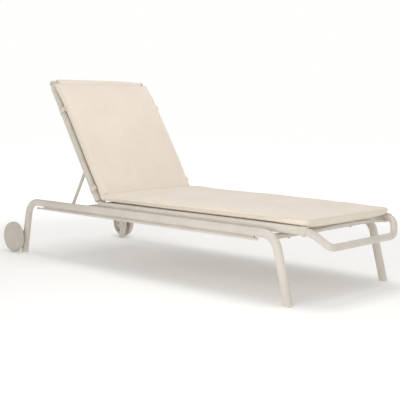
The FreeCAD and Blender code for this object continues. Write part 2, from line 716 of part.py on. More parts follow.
def all_parts():
    """Every sub-part, by name."""
    parts = {}
    for name, side in SIDES:
        parts["side_frame_" + name] = side_frame(side)
        parts["rail_keel_" + name] = rail_keel(side)
        parts["wheel_bracket_" + name] = wheel_bracket(side)
        parts["axle_bolt_" + name] = axle_bolt(side)
        parts["wheel_core_" + name] = wheel_core(side)
        parts["wheel_tyre_" + name] = wheel_tyre(side)
        parts["wheel_cover_" + name] = wheel_cover(side)
        parts["wheel_bush_" + name] = wheel_bush(side)
        parts["seat_winding_" + name] = seat_winding(side)
        parts["back_winding_" + name] = back_winding(side)
        parts["hinge_ear_" + name] = hinge_ear(side)
        parts["hinge_pin_" + name] = hinge_pin(side)
        parts["hinge_plug_" + name] = hinge_plug(side)
        parts["hinge_bush_" + name] = hinge_bush(side)
        parts["prop_lug_" + name] = prop_lug(side)
        parts["prop_rack_" + name] = prop_rack(side)
    parts["rear_cross_tube"] = cross_tube(CROSS_X[0])
    parts["front_cross_tube"] = cross_tube(CROSS_X[1])
    parts["foot_glides"] = foot_glides()
    parts["axle_nuts"] = axle_nuts()
    parts["seat_frame"] = seat_frame()
    for name, x in zip(("rear", "middle", "front"), SEAT_TUBES_X):
        parts["seat_" + name + "_tube"] = seat_cross(x, SEAT_TUBE_Z, SEAT_TUBE_R)
    parts["seat_foot_bar"] = seat_foot_bar()
    parts["seat_saddles"] = seat_saddles()
    parts["saddle_bolts"] = saddle_bolts()
    parts["seat_rope_deck"] = seat_rope_deck()
    parts["seat_tube_caps"] = seat_tube_caps()
    parts["rope_pegs"] = rope_pegs()
    parts["seat_cushion"] = seat_cushion()
    parts["back_frame"] = back_frame()
    parts["back_lower_tube"] = back_cross(BACK_TUBES_S[0])
    parts["back_upper_tube"] = back_cross(BACK_TUBES_S[1])
    parts["back_rope_deck"] = back_rope_deck()
    parts["back_cushion"] = back_cushion()
    parts["cushion_hood"] = cushion_hood()
    parts["cushion_straps"] = cushion_straps()
    parts["prop_bail"] = prop_bail()
    parts["prop_foot_caps"] = prop_foot_caps()
    return parts


def main():
    os.makedirs("parts", exist_ok=True)
    for node, shape in all_parts().items():
        shape = shape.copy()
        shape.translate(V(-ORIGIN_X, 0, 0))
        sound = shape.isValid() and all(solid.Volume > 0 for solid in shape.Solids)
        box = shape.BoundBox
        print(f"{node:22s} solids {len(shape.Solids)} ok {sound} volume {shape.Volume / 1000:9.2f} cm3"
              f"  x {box.XMin:8.1f} {box.XMax:8.1f}  y {box.YMin:7.1f} {box.YMax:7.1f}"
              f"  z {box.ZMin:6.1f} {box.ZMax:6.1f}")
        shape.exportStep(f"parts/{node}.step")
    flat_lean = math.degrees(math.asin((HINGE_Z - PROP_FOOT_Z) / PROP_LENGTH))
    ratio = -(PROP_LEAN - flat_lean + BACK_ANGLE) / BACK_ANGLE
    print("hinge at", HINGE_X - ORIGIN_X, HINGE_Z, " prop pivot at", PROP_TOP[0] - ORIGIN_X, PROP_TOP[1])
    print("prop length", PROP_LENGTH, " prop turns per back turn", ratio)


main()
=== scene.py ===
import json
import math
import random

import bpy
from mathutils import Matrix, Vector, noise


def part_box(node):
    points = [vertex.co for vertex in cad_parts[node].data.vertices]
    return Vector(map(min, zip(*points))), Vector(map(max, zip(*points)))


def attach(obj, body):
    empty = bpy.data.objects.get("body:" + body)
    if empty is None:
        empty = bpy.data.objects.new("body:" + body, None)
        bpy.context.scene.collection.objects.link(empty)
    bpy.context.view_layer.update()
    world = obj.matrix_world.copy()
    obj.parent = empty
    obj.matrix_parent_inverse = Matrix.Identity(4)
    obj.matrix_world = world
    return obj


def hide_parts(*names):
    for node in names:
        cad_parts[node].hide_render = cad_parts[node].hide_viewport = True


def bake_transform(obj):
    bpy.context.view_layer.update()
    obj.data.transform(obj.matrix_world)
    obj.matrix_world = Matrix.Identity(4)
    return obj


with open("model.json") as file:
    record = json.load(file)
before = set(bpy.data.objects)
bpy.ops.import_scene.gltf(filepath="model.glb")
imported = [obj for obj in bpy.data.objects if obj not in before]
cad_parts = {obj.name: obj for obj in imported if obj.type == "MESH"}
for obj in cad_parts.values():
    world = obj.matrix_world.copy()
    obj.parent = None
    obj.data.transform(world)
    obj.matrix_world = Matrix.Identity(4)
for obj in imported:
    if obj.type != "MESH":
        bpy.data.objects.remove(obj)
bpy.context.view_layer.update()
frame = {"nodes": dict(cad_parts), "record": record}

RANDOM = random.Random(7)

# ---- places read from the frame, in metres ----
JOINTS = {joint["name"]: joint for joint in frame["record"]["behaviour"]["joints"]}
HINGE = Vector(JOINTS["backrest_recline"]["pos_m"])
BACK_ANGLE = math.radians(-JOINTS["backrest_recline"]["range_deg"][0])
UP_BACK = Vector((-math.cos(BACK_ANGLE), 0, math.sin(BACK_ANGLE)))
OFF_BACK = Vector((math.sin(BACK_ANGLE), 0, math.cos(BACK_ANGLE)))
ACROSS = Vector((0, 1, 0))
UP = Vector((0, 0, 1))


def on_back(s, y, t):
    """A point of the raised backrest: s up it from the hinge, y across it, t out of its face."""
    return HINGE + UP_BACK * s + ACROSS * y + OFF_BACK * t


def back_reach(node):
    """How far up the backrest a node reaches: its lowest and highest s."""
    mesh = frame["nodes"][node].data
    along = [(vertex.co - HINGE).dot(UP_BACK) for vertex in mesh.vertices]
    return min(along), max(along)


# ---- shared mesh code ----
def new_object(name, vertices, faces, material, smooth=True):
    mesh = bpy.data.meshes.new(name)
    mesh.from_pydata([tuple(v) for v in vertices], [], faces)
    mesh.update()
    piece = bpy.data.objects.new(name, mesh)
    bpy.context.scene.collection.objects.link(piece)
    piece.data.materials.append(material)
    if smooth:
        mesh.polygons.foreach_set("use_smooth", [True] * len(mesh.polygons))
    return piece


def store(piece, name, values):
    """Keep one vector per vertex, for a material to read."""
    layer = piece.data.attributes.new(name, "FLOAT_VECTOR", "POINT")
    layer.data.foreach_set("vector", [number for value in values for number in value])


def grid_faces(rows, columns, closed_rows=False, closed_columns=False, start=0):
    """Quads of a grid of vertices kept row by row."""
    faces = []
    for i in range(rows if closed_rows else rows - 1):
        for j in range(columns if closed_columns else columns - 1):
            a = start + i * columns + j
            b = start + i * columns + (j + 1) % columns
            c = start + ((i + 1) % rows) * columns + (j + 1) % columns
            d = start + ((i + 1) % rows) * columns + j
            faces.append((a, b, c, d))
    return faces


# ---- materials ----
WEAVE_PITCH = 0.0011
STITCH_FROM_EDGE = 0.0075
STITCH_PITCH = 0.0042
PLAIT_PITCH = 0.0052


class Nodes:
    """A material's node tree, built one short line at a time."""

    def __init__(self, name):
        self.material = bpy.data.materials.new(name)
        self.material.use_nodes = True
        self.tree = self.material.node_tree
        self.shader = self.tree.nodes["Principled BSDF"]

    def add(self, kind, **sockets):
        node = self.tree.nodes.new("ShaderNode" + kind)
        for key, value in sockets.items():
            self.put(node.inputs[key.replace("_", " ")], value)
        return node

    def put(self, socket, value):
        if isinstance(value, bpy.types.NodeSocket):
            self.tree.links.new(value, socket)
        else:
            socket.default_value = value

    def math(self, operation, a, b=0.0):
        node = self.tree.nodes.new("ShaderNodeMath")
        node.operation = operation
        self.put(node.inputs[0], a)
        self.put(node.inputs[1], b)
        return node.outputs[0]

    def mix(self, factor, a, b):
        node = self.tree.nodes.new("ShaderNodeMix")
        node.data_type = "RGBA"
        self.put(node.inputs[0], factor)
        self.put(node.inputs[6], a)
        self.put(node.inputs[7], b)
        return node.outputs[2]

    def ramp(self, value, low, high):
        node = self.add("MapRange", Value=value)
        node.inputs["From Min"].default_value = low
        node.inputs["From Max"].default_value = high
        return node.outputs["Result"]

    def noise(self, where, scale, detail=3.0):
        return self.add("TexNoise", Vector=where, Scale=scale, Detail=detail).outputs["Fac"]

    def place(self):
        return self.add("TexCoord").outputs["Object"]

    def stored(self, name):
        node = self.tree.nodes.new("ShaderNodeAttribute")
        node.attribute_name = name
        return node.outputs["Vector"]

    def split(self, vector):
        return self.add("SeparateXYZ", Vector=vector).outputs

    def bump(self, height, distance, strength=1.0, normal=None):
        node = self.add("Bump", Height=height, Distance=distance, Strength=strength)
        if normal is not None:
            self.put(node.inputs["Normal"], normal)
        return node.outputs["Normal"]

    def finish(self, color=None, roughness=None, normal=None, **fixed):
        if color is not None:
            self.put(self.shader.inputs["Base Color"], color)
        if roughness is not None:
            self.put(self.shader.inputs["Roughness"], roughness)
        if normal is not None:
            self.put(self.shader.inputs["Normal"], normal)
        for key, value in fixed.items():
            self.shader.inputs[key.replace("_", " ")].default_value = value
        return self.material


def linear(red, green, blue):
    """An sRGB colour of 0 to 255 as the linear colour that shaders use."""
    out = []
    for value in (red, green, blue):
        c = value / 255
        out.append(c / 12.92 if c <= 0.04045 else ((c + 0.055) / 1.055) ** 2.4)
    return (*out, 1.0)


def powder_coat():
    """Satin paint baked on metal: a fine orange peel, and faint cloudiness."""
    n = Nodes("powder_coat")
    place = n.place()
    cloud = n.noise(place, 9.0)
    color = n.mix(n.ramp(cloud, 0.35, 0.7), linear(207, 199, 189), linear(217, 209, 199))
    peel = n.noise(place, 900.0, 1.0)
    fine = n.noise(place, 3200.0, 0.0)
    roughness = n.add("MapRange", Value=cloud)
    roughness.inputs["To Min"].default_value = 0.40
    roughness.inputs["To Max"].default_value = 0.52
    normal = n.bump(fine, 0.00006, 0.5, n.bump(peel, 0.0002, 0.6))
    return n.finish(color, roughness.outputs["Result"], normal, Specular_IOR_Level=0.42)


def moulded(name, dark, light, rough, grain=1500.0):
    """Matt moulded plastic with a fine eroded grain."""
    n = Nodes(name)
    place = n.place()
    cloud = n.noise(place, 26.0)
    color = n.mix(n.ramp(cloud, 0.3, 0.7), dark, light)
    grit = n.noise(place, grain, 2.0)
    roughness = n.add("MapRange", Value=cloud)
    roughness.inputs["To Min"].default_value = rough - 0.06
    roughness.inputs["To Max"].default_value = rough + 0.06
    return n.finish(color, roughness.outputs["Result"], n.bump(grit, 0.00012, 0.6))


def stainless():
    """Turned stainless steel with faint tool lines."""
    n = Nodes("stainless")
    place = n.place()
    lines = n.add("TexNoise", Vector=n.add("Mapping", Vector=place, Scale=(1, 14, 1)).outputs[0],
                  Scale=420.0, Detail=2.0).outputs["Fac"]
    color = n.mix(lines, linear(168, 166, 162), linear(196, 194, 190))
    roughness = n.add("MapRange", Value=lines)
    roughness.inputs["To Min"].default_value = 0.26
    roughness.inputs["To Max"].default_value = 0.42
    return n.finish(color, roughness.outputs["Result"], n.bump(lines, 0.00005, 0.5), Metallic=1.0)


def woven_fabric(name, dark, light, seam=False):
    """Plain-woven outdoor cloth. It reads "cloth", the place on the flat cloth in metres."""
    n = Nodes(name)
    cloth = n.stored("cloth")
    x, y, edge = n.split(cloth)
    warp = n.math("SINE", n.math("MULTIPLY", x, 2 * math.pi / WEAVE_PITCH))
    weft = n.math("SINE", n.math("MULTIPLY", y, 2 * math.pi / WEAVE_PITCH))
    over = n.math("MULTIPLY", warp, weft)
    slub_x = n.noise(n.add("Mapping", Vector=cloth, Scale=(1.0, 26.0, 1.0)).outputs[0], 42.0, 3.0)
    slub_y = n.noise(n.add("Mapping", Vector=cloth, Scale=(26.0, 1.0, 1.0)).outputs[0], 42.0, 3.0)
    mottle = n.noise(cloth, 5.0, 4.0)
    thread = n.math("ADD", n.math("MULTIPLY", slub_x, 0.5), n.math("MULTIPLY", slub_y, 0.5))
    shade = n.math("ADD", n.math("MULTIPLY", thread, 0.75), n.math("MULTIPLY", mottle, 0.25))
    color = n.mix(n.ramp(shade, 0.38, 0.62), dark, light)
    # painted shade: where the weave's bump dips lowest, the cloth colour is mixed 15% towards a dark
    # brown
    color = n.mix(n.ramp(over, -0.9, -0.2), n.mix(0.15, color, linear(160, 146, 128)), color)
    height = n.math("ADD", n.math("MULTIPLY", over, 0.5), n.math("MULTIPLY", thread, 0.8))
    normal = n.bump(height, 0.00022, 0.55)
    wrinkle = n.noise(n.add("Mapping", Vector=cloth, Scale=(1.0, 0.6, 1.0)).outputs[0], 16.0, 2.0)
    normal = n.bump(wrinkle, 0.0012, 0.35, normal)
    if seam:
        stitch_line = n.math("COMPARE", edge, STITCH_FROM_EDGE)
        stitch_line.node.inputs[2].default_value = 0.0006
        along = n.math("ADD", x, y)
        wave = n.math("SINE", n.math("MULTIPLY", along, 2 * math.pi / STITCH_PITCH))
        dash = n.math("GREATER_THAN", wave, -0.3)
        stitch = n.math("MULTIPLY", stitch_line, dash)
        color = n.mix(stitch, color, linear(206, 193, 174))
        furrow = n.add("MapRange", Value=n.math("ABSOLUTE", n.math("SUBTRACT", edge, STITCH_FROM_EDGE)))
        furrow.inputs["From Max"].default_value = 0.004
        normal = n.bump(furrow.outputs["Result"], 0.0012, 0.6, normal)
    return n.finish(color, 0.93, normal, Sheen_Weight=0.25, Sheen_Roughness=0.5, Specular_IOR_Level=0.25)


def braided_rope():
    """Round braided cord. It reads "rope": length along the cord, and turn round it, from 0 to 1."""
    n = Nodes("braided_rope")
    along, turn, tone = n.split(n.stored("rope"))
    lean = n.math("MULTIPLY", along, 2 * math.pi / PLAIT_PITCH)
    around = n.math("MULTIPLY", turn, 2 * math.pi * 4)
    one = n.math("SINE", n.math("ADD", lean, around))
    other = n.math("SINE", n.math("SUBTRACT", lean, around))
    plaits = n.math("MAXIMUM", one, other)
    strand = n.add("CombineXYZ", X=n.math("MULTIPLY", along, 2.0), Y=turn, Z=tone).outputs[0]
    fibre = n.noise(strand, 600.0, 2.0)
    cloud = n.noise(n.place(), 14.0, 3.0)
    color = n.mix(n.ramp(cloud, 0.3, 0.7), linear(222, 215, 203), linear(234, 228, 217))
    # painted shade: the grooves between the plaits, where the bump is low, are darkened towards a
    # grey-brown
    color = n.mix(n.ramp(plaits, 0.75, -0.1), color, linear(192, 184, 171))
    color = n.mix(n.math("MULTIPLY", tone, 0.22), color, linear(243, 238, 228))
    height = n.math("ADD", plaits, n.math("MULTIPLY", fibre, 0.5))
    return n.finish(color, 0.85, n.bump(height, 0.0004, 0.7), Sheen_Weight=0.2, Specular_IOR_Level=0.3)


PAINT = powder_coat()
WHEEL = moulded("wheel_plastic", linear(194, 186, 177), linear(204, 196, 187), 0.52)
TREAD = moulded("wheel_tread", linear(196, 188, 180), linear(206, 198, 190), 0.72, 900.0)
GLIDE = moulded("glide_plastic", linear(214, 206, 194), linear(222, 214, 203), 0.6)
BUSH = moulded("bush_plastic", linear(222, 219, 212), linear(230, 227, 221), 0.4)
STEEL = stainless()
PAD_CLOTH = woven_fabric("pad_cloth", linear(228, 216, 201), linear(240, 230, 217), seam=True)
STRAP_CLOTH = woven_fabric("strap_cloth", linear(218, 207, 191), linear(231, 221, 206))
ROPE = braided_rope()
SLOT_MATERIALS = {"frame_paint": PAINT, "wheel_plastic": WHEEL, "wheel_tread": TREAD,
                  "glide_plastic": GLIDE, "bush_plastic": BUSH, "steel": STEEL,
                  "rope": ROPE, "pad_fabric": PAD_CLOTH}


def paint_cad_nodes():
    """Give each carried-over CAD node the material of its slot."""
    for part in frame["record"]["subparts"]:
        node = frame["nodes"][part["node"]]
        for slot in node.material_slots:
            slot.link = "DATA"
            slot.material = SLOT_MATERIALS[part["material_slot"]]


paint_cad_nodes()

# ---- the pad's place ----
SEAT_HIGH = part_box("seat_cushion")[1]
BACK_PAD_S = back_reach("back_cushion")
DECK_LOW, DECK_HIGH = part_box("seat_rope_deck")
DECK_TOP = DECK_HIGH.z
FOOT_BAR_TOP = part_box("seat_foot_bar")[1].z
PAD_FOOT = SEAT_HIGH.x - 0.004
PAD_HALF = SEAT_HIGH.y + 0.001
BACK_OFFSET = 0.0192
FOLD_RADIUS = 0.032
FOOT_CORNER = 0.045
TOP_CORNER = 0.009
BACK_WIDER = 0.005
CLEAR = 0.0006
FOLD_SHARE = 0.92
PAD_PRESSURE = 4.0
PAD_MOVE_MOST = 0.007
PIPING_R = 0.0019
EDGE_ROLL = 0.038
SEAT_LOWER_ROLL = 0.011
BACK_LOWER_ROLL = 0.020
END_ROLL = 0.016
PAD_TOP_S = BACK_PAD_S[1] + 0.013


class PadPath:
    """The line under the pad: along the seat, round the fold and up the backrest."""

    def __init__(self):
        z = DECK_TOP + 0.0012
        level = z - HINGE.z
        s = (level - BACK_OFFSET * OFF_BACK.z) / UP_BACK.z
        corner = HINGE + UP_BACK * s + OFF_BACK * BACK_OFFSET
        reach = FOLD_RADIUS * math.tan(BACK_ANGLE / 2)
        self.start = Vector((PAD_FOOT, 0, z))
        self.fold_start = Vector((corner.x + reach, 0, z))
        self.centre = self.fold_start + UP * FOLD_RADIUS
        self.fold_end = corner + UP_BACK * reach
        self.seat_length = self.start.x - self.fold_start.x
        self.fold_length = FOLD_RADIUS * BACK_ANGLE
        top = on_back(PAD_TOP_S, 0, BACK_OFFSET)
        self.back_length = (top - self.fold_end).length
        self.length = self.seat_length + self.fold_length + self.back_length

    def at(self, u):
        """The point at a length u from the foot end, and the way out of the pad's face there."""
        if u <= self.seat_length:
            return self.start - Vector((u, 0, 0)), UP
        if u >= self.seat_length + self.fold_length:
            return self.fold_end + UP_BACK * (u - self.seat_length - self.fold_length), OFF_BACK
        turn = (u - self.seat_length) / FOLD_RADIUS
        out = Vector((math.sin(turn), 0, math.cos(turn)))
        return self.centre - out * FOLD_RADIUS, out

    def from_fold(self, u):
        """How far a station lies from the fold, along the seat or up the backrest."""
        return max(self.seat_length - u, u - self.seat_length - self.fold_length, 0.0)


PATH = PadPath()


def smooth_step(value, low, high):
    t = min(max((value - low) / (high - low), 0.0), 1.0)
    return t * t * (3 - 2 * t)


def bump_at(value, centre, width):
    return math.exp(-((value - centre) / width) ** 2)


def half_at(u):
    """Half the pad's width, drawn in round its corners."""
    radius = FOOT_CORNER if u < PATH.length / 2 else TOP_CORNER
    into = min(max(0.0, radius - min(u, PATH.length - u)), radius)
    wider = BACK_WIDER * smooth_step(u, PATH.seat_length + 0.05, PATH.seat_length + 0.25)
    return PAD_HALF + wider - radius + math.sqrt(radius ** 2 - into ** 2)


def from_end(u, y):
    """How far a place is from the pad's nearer end, measured along it from the rounded outline."""
    radius = FOOT_CORNER if u < PATH.length / 2 else TOP_CORNER
    into = max(0.0, radius - (PAD_HALF - abs(y)))
    return max(0.0, min(u, PATH.length - u) - radius + math.sqrt(max(0.0, radius ** 2 - into ** 2)))


def edge_share(side, end, side_roll, end_roll):
    """Height share of a rounded edge, from 0 on the outline to 1 inside it."""
    near = ((side / side_roll + 1e-4) ** -3 + (end / end_roll + 1e-4) ** -3) ** (-1 / 3)
    return math.sqrt(max(0.0, 1 - (1 - min(near, 1.0)) ** 2))


def pad_height(u, y):
    """The pad's full thickness: lumps along the seat, a swell at the fold, thin ends."""
    lumps = 0.0028 * noise.noise((u * 4.3, y * 3.0, 1.7)) + 0.0012 * noise.noise((u * 13, y * 9, 5.1))
    if u < PATH.seat_length:
        height = 0.0285 + 0.0125 * smooth_step(u, 0.0, 0.56)
        height += 0.0085 * bump_at(u, PATH.seat_length - 0.085, 0.07)
    else:
        t = min(1.0, (u - PATH.seat_length - PATH.fold_length) / PATH.back_length)
        height = 0.0375 + 0.0075 * math.sin(math.pi * min(max(t, 0.0), 1.0)) ** 0.8
        height -= 0.014 * smooth_step(t, 0.86, 1.0)
    limit = FOLD_RADIUS + PATH.from_fold(u) / math.tan(BACK_ANGLE / 2)
    return min(height + lumps, 0.90 * limit)


def seam_lift(u, y):
    """How high the seam runs over the pad's underside."""
    if u < PATH.seat_length:
        lift = 0.0135 + 0.0105 * (1 - u / PATH.seat_length) - 0.0050 * bump_at(u, PATH.seat_length, 0.07)
        return lift - 0.0040 * (1 + y / PAD_HALF) * math.exp(-u / 0.10)
    t = min(1.0, max(0.0, (u - PATH.seat_length) / PATH.back_length))
    lift = 0.0135 + 0.0060 * math.sin(math.pi * t) - 0.0075 * smooth_step(t, 0.85, 1.0)
    return lift - 0.0050 * bump_at(u, PATH.seat_length, 0.07)


def over_foot_bar(u, y):
    """How much of the way down to the arched bar the pad's lower face hangs."""
    inside = max(0.0, 1 - (abs(y) / (PAD_HALF - 0.004)) ** 8)
    return inside * (1 - smooth_step(u, 0.022, 0.042))


def underside(u, y):
    """The pad's lower face: it hangs on to the arched bar at the foot, and fills the fold's corner."""
    room = FOOT_BAR_TOP + CLEAR - PATH.start.z
    turn = min(max((u - PATH.seat_length) / PATH.fold_length, 0.0), 1.0) - 0.5
    corner = FOLD_RADIUS * (1 / math.cos(BACK_ANGLE / 2) - 1)
    filled = corner * (1 - abs(2 * turn)) ** 0.8
    return room * over_foot_bar(u, y) - FOLD_SHARE * filled


def pad_point(u, v, top):
    """A point of the sewn cover: u along it, v from -1 to 1 across it."""
    y = half_at(u) * v
    pull = 0.0035 * bump_at(u, 0.30 * PATH.seat_length, 0.25)
    pull += 0.0025 * bump_at(u, PATH.length - 0.33, 0.2)
    side = half_at(u) * (1 - abs(v))
    end = from_end(u, y)
    seam = seam_lift(u, y)
    if top:
        height = pad_height(u, y) * (1 + 0.06 * (1 - v * v))
        lift = seam + (height - seam) * edge_share(side, end, EDGE_ROLL, EDGE_ROLL)
    else:
        share = smooth_step(u, PATH.seat_length, PATH.seat_length + 0.12)
        roll = SEAT_LOWER_ROLL + (BACK_LOWER_ROLL - SEAT_LOWER_ROLL) * share
        lift = seam - (seam - underside(u, y)) * edge_share(side, end, roll, END_ROLL)
    point, out = PATH.at(u)
    return point + out * lift + ACROSS * (y * (1 - pull / PAD_HALF))


PAD_COLUMNS = 56
CORNER_STEPS = 9
SEAT_STEPS = 96
FOLD_STEPS = 12
BACK_STEPS = 58


def pad_stations():
    """Stations along the pad, close together round its corners, at its ends and in the fold."""
    foot = [FOOT_CORNER * (1 - math.cos(math.pi / 2 * k / CORNER_STEPS)) for k in range(CORNER_STEPS)]
    run = PATH.seat_length - FOOT_CORNER
    seat = [FOOT_CORNER + run * (k / SEAT_STEPS + 0.13 * math.sin(2 * math.pi * k / SEAT_STEPS) / 6.3)
            for k in range(SEAT_STEPS)]
    fold = [PATH.seat_length + PATH.fold_length * k / FOLD_STEPS for k in range(FOLD_STEPS)]
    first = PATH.seat_length + PATH.fold_length
    run = PATH.back_length - TOP_CORNER
    back = [first + run * (k / BACK_STEPS - 0.5 * math.sin(2 * math.pi * k / BACK_STEPS) / 6.3)
            for k in range(BACK_STEPS)]
    top = [PATH.length - TOP_CORNER * (1 - math.sin(math.pi / 2 * k / CORNER_STEPS))
           for k in range(CORNER_STEPS + 1)]
    return foot + seat + fold + back + top


def pad_columns():
    """Places across the pad, closer together towards both long edges."""
    columns = []
    for k in range(PAD_COLUMNS + 1):
        t = k / PAD_COLUMNS
        columns.append(2 * (t - 0.80 * math.sin(2 * math.pi * t) / (2 * math.pi)) - 1)
    return columns


def pad_mesh():
    """Upper and lower panels that share their edge vertices, which are the seam."""
    rows, columns = pad_stations(), pad_columns()
    last_row, last_column = len(rows) - 1, len(columns) - 1
    vertices, cloth, index = [], [], {}
    for top in (True, False):
        for i, u in enumerate(rows):
            for j, v in enumerate(columns):
                if not top and (i in (0, last_row) or j in (0, last_column)):
                    index[top, i, j] = index[True, i, j]
                    continue
                index[top, i, j] = len(vertices)
                vertices.append(pad_point(u, v, top))
                y = half_at(u) * v
                cloth.append((u, y, min(half_at(u) - abs(y), from_end(u, y))))
    faces = []
    for top in (True, False):
        for i in range(last_row):
            for j in range(last_column):
                quad = [index[top, i, j], index[top, i, j + 1],
                        index[top, i + 1, j + 1], index[top, i + 1, j]]
                faces.append(quad if not top else quad[::-1])
    seam = [index[True, 0, j] for j in range(last_column)]
    seam += [index[True, i, last_column] for i in range(last_row)]
    seam += [index[True, last_row, j] for j in range(last_column, 0, -1)]
    seam += [index[True, i, 0] for i in range(last_row, 0, -1)]
    return vertices, faces, cloth, seam


def inflate(piece, pressure, cap, frames=20):
    """Blow the cover up with cloth simulation, and keep each point within cap of its start."""
    before = [vertex.co.copy() for vertex in piece.data.vertices]
    cloth = piece.modifiers.new("stuffing", "CLOTH")
    settings = cloth.settings
    settings.quality = 5
    settings.mass = 0.35
    settings.tension_stiffness = 18
    settings.compression_stiffness = 18
    settings.shear_stiffness = 8
    settings.bending_stiffness = 1.2
    settings.use_pressure = True
    settings.uniform_pressure_force = pressure
    settings.effector_weights.gravity = 0.0
    cloth.collision_settings.use_collision = False
    cloth.point_cache.frame_start = 1
    cloth.point_cache.frame_end = frames
    for step in range(1, frames + 1):
        bpy.context.scene.frame_set(step)
    graph = bpy.context.evaluated_depsgraph_get()
    after = [vertex.co.copy() for vertex in piece.evaluated_get(graph).data.vertices]
    piece.modifiers.remove(cloth)
    bpy.context.scene.frame_set(1)
    for vertex, old, new in zip(piece.data.vertices, before, after):
        move = new - old
        if move.length > cap:
            move = move * (cap / move.length)
        vertex.co = old + move
    piece.data.update()


def settle(piece, floor_of):
    """Keep the underside of the pad off what it lies on."""
    for vertex in piece.data.vertices:
        vertex.co = floor_of(vertex.co)
    piece.data.update()


def above_decks(point):
    """The nearest place that is above the seat's rope and in front of the backrest's rope."""
    low = DECK_TOP + CLEAR + (FOOT_BAR_TOP - DECK_TOP) * over_foot_bar(PAD_FOOT - point.x, point.y)
    if point.z < low:
        point = Vector((point.x, point.y, low))
    t = (point - HINGE).dot(OFF_BACK)
    s = (point - HINGE).dot(UP_BACK)
    if s > 0.02 and t < BACK_OFFSET - CLEAR:
        point = point + OFF_BACK * (BACK_OFFSET - CLEAR - t)
    return point


def subdivide_once(piece):
    modifier = piece.modifiers.new("smooth", "SUBSURF")
    modifier.levels = 1
    modifier.render_levels = 1
    with bpy.context.temp_override(object=piece, active_object=piece, selected_objects=[piece]):
        bpy.ops.object.modifier_apply(modifier=modifier.name)


def cord_mesh(points, radius, sides=8, closed=False, tone=0.0):
    """A round tube along points, with its rope coordinates."""
    count = len(points)
    vertices, rope, length = [], [], 0.0
    for i, point in enumerate(points):
        if closed:
            ahead = points[(i + 1) % count] - points[i - 1]
        else:
            ahead = points[min(i + 1, count - 1)] - points[max(i - 1, 0)]
        ahead.normalize()
        side = ahead.cross(UP) if abs(ahead.z) < 0.9 else ahead.cross(ACROSS)
        side.normalize()
        other = ahead.cross(side)
        if i:
            length += (points[i] - points[i - 1]).length
        for k in range(sides):
            a = 2 * math.pi * k / sides
            vertices.append(point + side * (math.cos(a) * radius) + other * (math.sin(a) * radius))
            rope.append((length, k / sides, tone))
    return vertices, rope


def tube_faces(count, sides, start=0, closed=False):
    faces = grid_faces(count, sides, closed_rows=closed, closed_columns=True, start=start)
    if not closed:
        faces.append(tuple(start + k for k in range(sides)))
        last = start + (count - 1) * sides
        faces.append(tuple(last + k for k in reversed(range(sides))))
    return faces


def make_pad():
    vertices, faces, cloth, seam = pad_mesh()
    pad = new_object("folded_pad", vertices, faces, PAD_CLOTH)
    store(pad, "cloth", cloth)
    inflate(pad, PAD_PRESSURE, PAD_MOVE_MOST)
    settle(pad, above_decks)
    ring = [pad.data.vertices[k].co.copy() for k in seam]
    subdivide_once(pad)
    return pad, ring


def blend_over_hinge(piece):
    """Bake a piece of the pad's transform into its mesh; nothing here bends it at the backrest's hinge.
    """
    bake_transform(piece)


def make_piping(ring):
    """The sewn edge of the pad, as a thin cord in the seam."""
    vertices, rope = cord_mesh(ring, PIPING_R, sides=8, closed=True)
    faces = tube_faces(len(ring), 8, closed=True)
    piping = new_object("pad_piping", vertices, faces, STRAP_CLOTH)
    store(piping, "cloth", [(a, b * 0.012, 0.03) for a, b, _ in rope])
    return piping


pad, seam_ring = make_pad()
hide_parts("seat_cushion", "back_cushion")
blend_over_hinge(pad)
piping = make_piping(seam_ring)
blend_over_hinge(piping)

# ---- rope ----
ROPE_R = 0.0024
ROPE_PITCH = 0.0050
CROSS_EVERY = 0.0100
CROSS_SAG = 0.002
WINDING_GROOVE = 0.62
BARE_SEAT = 0.0024
BARE_BACK = 0.0028


class Straight:
    """A straight run of tube."""

    def __init__(self, a, b):
        self.a, self.axis = a, (b - a).normalized()
        self.length = (b - a).length

    def at(self, distance):
        return self.a + self.axis * distance, self.axis


class BentAtEnd:
    """A run of tube along +X whose last stretch follows a bend to a known end."""

    def __init__(self, start, end, bend):
        aside = Vector((0, end.y - start.y, end.z - start.z))
        self.start, self.bend, self.out = start, bend, aside.normalized()
        self.turn = math.acos(1 - aside.length / bend)
        self.straight = end.x - start.x - bend * math.sin(self.turn)
        self.length = self.straight + bend * self.turn

    def at(self, distance):
        if distance <= self.straight:
            return self.start + Vector((distance, 0, 0)), Vector((1, 0, 0))
        turn = (distance - self.straight) / self.bend
        point = self.start + Vector((self.straight + self.bend * math.sin(turn), 0, 0))
        point += self.out * (self.bend * (1 - math.cos(turn)))
        return point, Vector((math.cos(turn), 0, 0)) + self.out * math.sin(turn)


